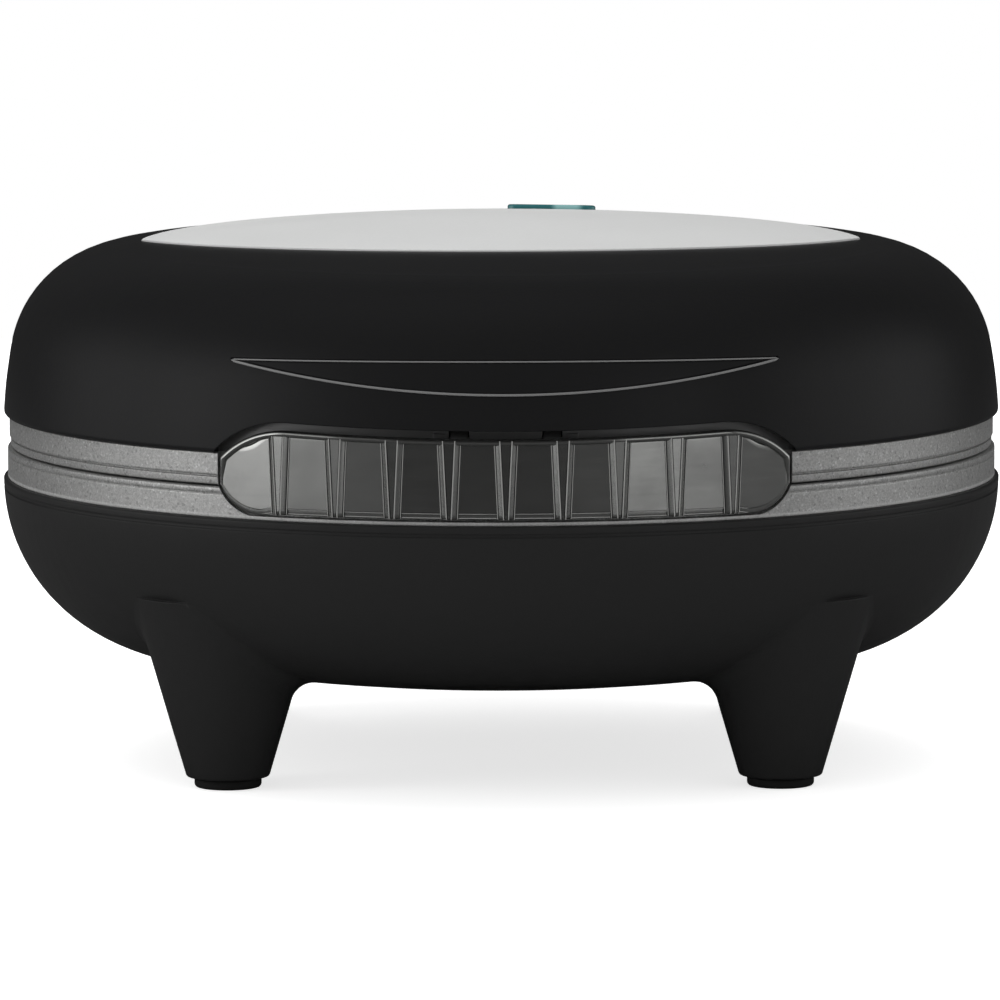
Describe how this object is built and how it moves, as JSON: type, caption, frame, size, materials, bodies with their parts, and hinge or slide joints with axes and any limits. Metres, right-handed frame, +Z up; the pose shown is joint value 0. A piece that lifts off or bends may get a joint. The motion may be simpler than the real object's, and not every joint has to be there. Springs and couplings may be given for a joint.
{
  "type": "omelette maker",
  "caption": "Round countertop omelette maker with a hinged lid, half-moon pans, silver bands, ribbed front latch grip and four tapered legs.",
  "frame": {"origin": "centre of the bounding box's footprint, on the surface the pads stand on", "axes": "+Z up through the lid, -Y out of the ribbed front grip, +X to the right seen from the front, hinge along X at +Y"},
  "size_m": [0.2218, 0.235, 0.1188],
  "materials": {
    "shell_black": "satin moulded phenolic-look plastic, near black",
    "band_silver": "fine metallic silver paint",
    "plate_nonstick": "cast aluminium with dark non-stick coating",
    "heater_sheath": "oxidised stainless sheath",
    "shield_metal": "bare sheet",
    "spring_steel": "plain strip",
    "screw_steel": "zinc plated",
    "panel_satin": "satin sheet, fine grain",
    "grip_metal": "dark brushed metal finish",
    "pad_rubber": "matt black rubber",
    "lens_teal": "clear teal moulding",
    "lamp_glass": "small neon bulb",
    "tray_plastic": "natural heat-resisting plastic",
    "ceramic_white": "unglazed",
    "lead_sleeve": "woven glass sleeve on the wire",
    "gland_black": "flexible black moulding",
    "fuse_metal": "drawn can"
  },
  "bodies": {
    "base": {"lower_shell": "shell_black", "lower_band": "band_silver", "lower_plate": "plate_nonstick", "lower_heater": "heater_sheath", "lower_heater_clips": "spring_steel", "lower_heat_shield": "shield_metal", "lower_shield_screws": "screw_steel", "base_screws": "screw_steel", "foot_pads": "pad_rubber", "thermostat": "fuse_metal", "thermal_fuse": "fuse_metal", "fuse_clip": "spring_steel", "terminal_block": "ceramic_white", "terminal_screws": "screw_steel", "base_leads": "lead_sleeve", "cord_gland": "gland_black", "hinge_pins": "screw_steel"},
    "lid": {"upper_shell": "shell_black", "upper_band": "band_silver", "upper_plate": "plate_nonstick", "upper_heater": "heater_sheath", "upper_heater_clips": "spring_steel", "upper_heat_shield": "shield_metal", "upper_shield_screws": "screw_steel", "lid_screws": "screw_steel", "top_panel": "panel_satin", "indicator_lens": "lens_teal", "lamp_tray": "tray_plastic", "power_lamp": "lamp_glass", "ready_lamp": "lamp_glass", "lamp_tray_screws": "screw_steel", "lid_leads": "lead_sleeve", "latch_pin": "screw_steel"},
    "latch": {"latch_grip": "grip_metal"}
  },
  "joints": [
    {"name": "lid_hinge", "type": "hinge", "parent": "base", "child": "lid", "pos_m": [0, 0.1125, 0.069], "axis": [-1, 0, 0], "range_deg": [0, 100]},
    {"name": "latch_pivot", "type": "hinge", "parent": "lid", "child": "latch", "pos_m": [0, -0.1105, 0.0795], "axis": [-1, 0, 0], "range_deg": [-5, 12]}
  ]
}
